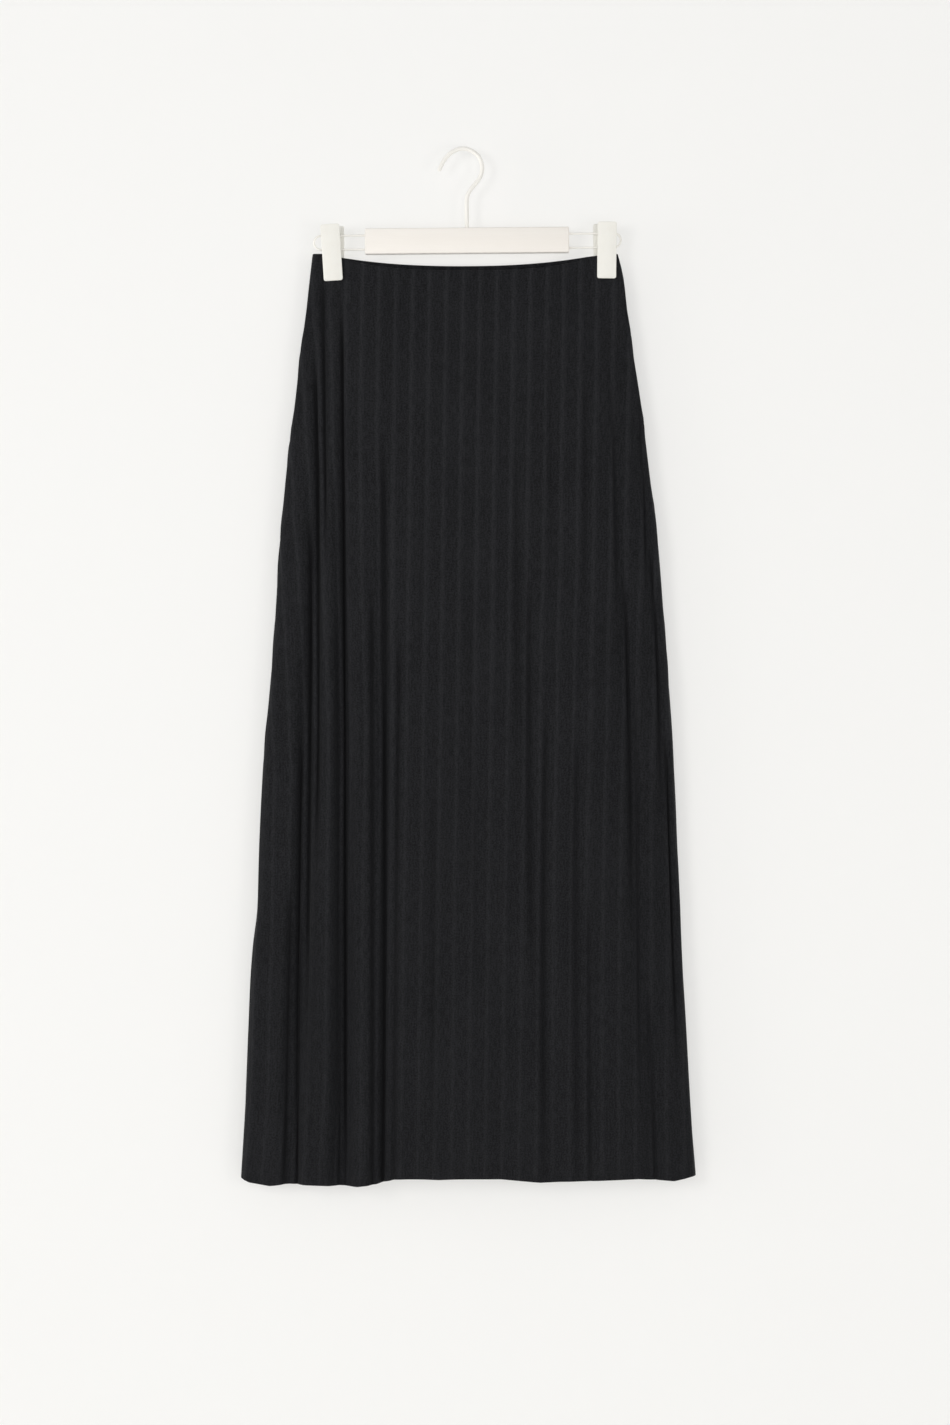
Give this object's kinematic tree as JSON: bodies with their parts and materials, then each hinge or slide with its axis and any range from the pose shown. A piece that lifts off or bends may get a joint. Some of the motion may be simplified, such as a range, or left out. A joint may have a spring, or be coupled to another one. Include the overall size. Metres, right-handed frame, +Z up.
{
  "type": "maxi skirt on clip hanger",
  "caption": "Long ribbed A-line skirt hung flat by its waist from a two-clip hanger, open at the waist and the hem.",
  "frame": {"origin": "inner crest of the hanger's hook, where a nail, peg or rail carries it", "axes": "+Z up, -Y out of the skirt's front, +X to the right when the front is faced"},
  "size_m": [0.4793, 0.0458, 1.0937],
  "materials": {
    "ribbed_cloth": "black ribbed cloth with a soft low sheen",
    "painted_bar": "satin cream paint",
    "clip_plastic": "satin cream plastic",
    "enamelled_wire": "cream enamel on steel wire"
  },
  "bodies": {
    "root": {"skirt_front": "ribbed_cloth", "skirt_back": "ribbed_cloth", "hanger_bar": "painted_bar", "hanger_hook": "enamelled_wire", "rail_left": "enamelled_wire", "rail_right": "enamelled_wire", "clip_left_front": "clip_plastic", "clip_left_back": "clip_plastic", "clip_left_core": "clip_plastic", "clip_right_front": "clip_plastic", "clip_right_back": "clip_plastic", "clip_right_core": "clip_plastic"}
  },
  "joints": []
}
